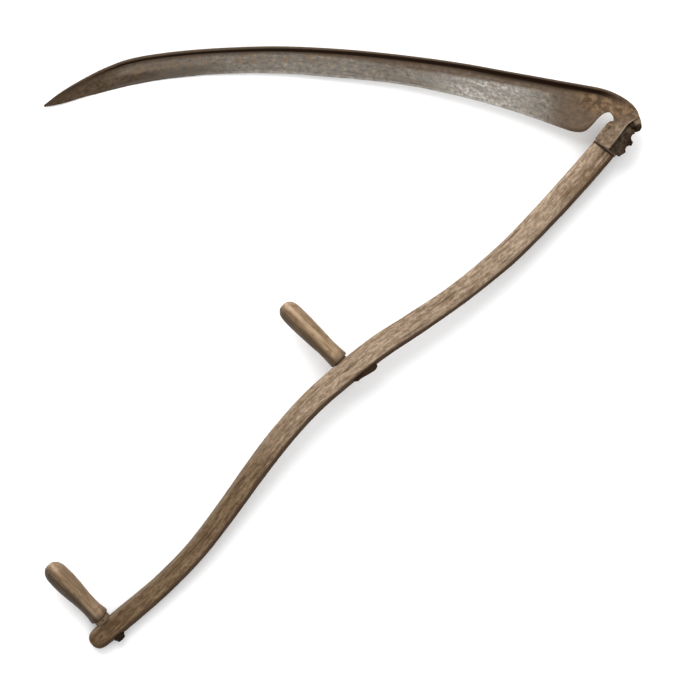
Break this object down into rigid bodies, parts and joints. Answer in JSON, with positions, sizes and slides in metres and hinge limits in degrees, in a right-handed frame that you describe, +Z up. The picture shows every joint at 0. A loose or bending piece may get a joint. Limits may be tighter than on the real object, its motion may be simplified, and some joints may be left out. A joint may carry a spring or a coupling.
{
  "type": "two-handed scythe",
  "caption": "Antique mowing scythe: bent wooden pole with two turned hand grips and a long curved steel blade bolted to a toothed iron heel socket.",
  "frame": {"origin": "middle of the object's box in plan, on the ground it lies on", "axes": "+Z up from the ground, -X along the blade from heel to point, +Y across from the pole's butt towards the blade"},
  "size_m": [0.8978, 0.9049, 0.0614],
  "materials": {
    "ash_wood": "dry, weathered and greyed, with fine open grain",
    "grip_wood": "hand-polished, satin",
    "blade_steel": "old forged steel, brown patina with bright worn patches and rust",
    "iron": "dark rusted iron, rough",
    "bolt_iron": "rusted, worn on the corners"
  },
  "bodies": {
    "pole": {"snath": "ash_wood", "heel_socket": "iron", "heel_rivet_left": "bolt_iron", "heel_rivet_right": "bolt_iron", "heel_plate": "iron", "plate_screw_left": "bolt_iron", "plate_screw_right": "bolt_iron", "pivot_bolt": "bolt_iron", "pivot_washer": "bolt_iron", "upper_nib_rod": "bolt_iron", "upper_nib_collar": "iron", "upper_nib_keeper": "iron", "lower_nib_rod": "bolt_iron", "lower_nib_collar": "iron", "lower_nib_washer": "bolt_iron"},
    "blade": {"blade": "blade_steel"},
    "pivot_nut": {"pivot_nut": "bolt_iron"},
    "upper_nib": {"upper_nib_grip": "grip_wood"},
    "lower_nib": {"lower_nib_grip": "grip_wood"},
    "lower_nib_nut": {"lower_nib_nut": "bolt_iron"}
  },
  "joints": [
    {"name": "blade_swing", "type": "hinge", "parent": "pole", "child": "blade", "pos_m": [0.40153, 0.31974, 0], "axis": [0, 0, -1], "range_deg": [0, 60]},
    {"name": "pivot_nut_turn", "type": "hinge", "parent": "pole", "child": "pivot_nut", "pos_m": [0.40153, 0.31974, 0], "axis": [0, 0, 1], "continuous": true},
    {"name": "upper_nib_turn", "type": "hinge", "parent": "pole", "child": "upper_nib", "pos_m": [0.0102, -0.0348, 0.04166], "axis": [-0.713, 0.7007, 0.0262], "continuous": true},
    {"name": "lower_nib_turn", "type": "hinge", "parent": "pole", "child": "lower_nib", "pos_m": [-0.3476, -0.4224, 0.01573], "axis": [-0.6819, 0.7012, 0.2079], "continuous": true},
    {"name": "lower_nib_nut_turn", "type": "hinge", "parent": "pole", "child": "lower_nib_nut", "pos_m": [-0.3476, -0.4224, 0.01573], "axis": [-0.6819, 0.7012, 0.2079], "continuous": true}
  ]
}
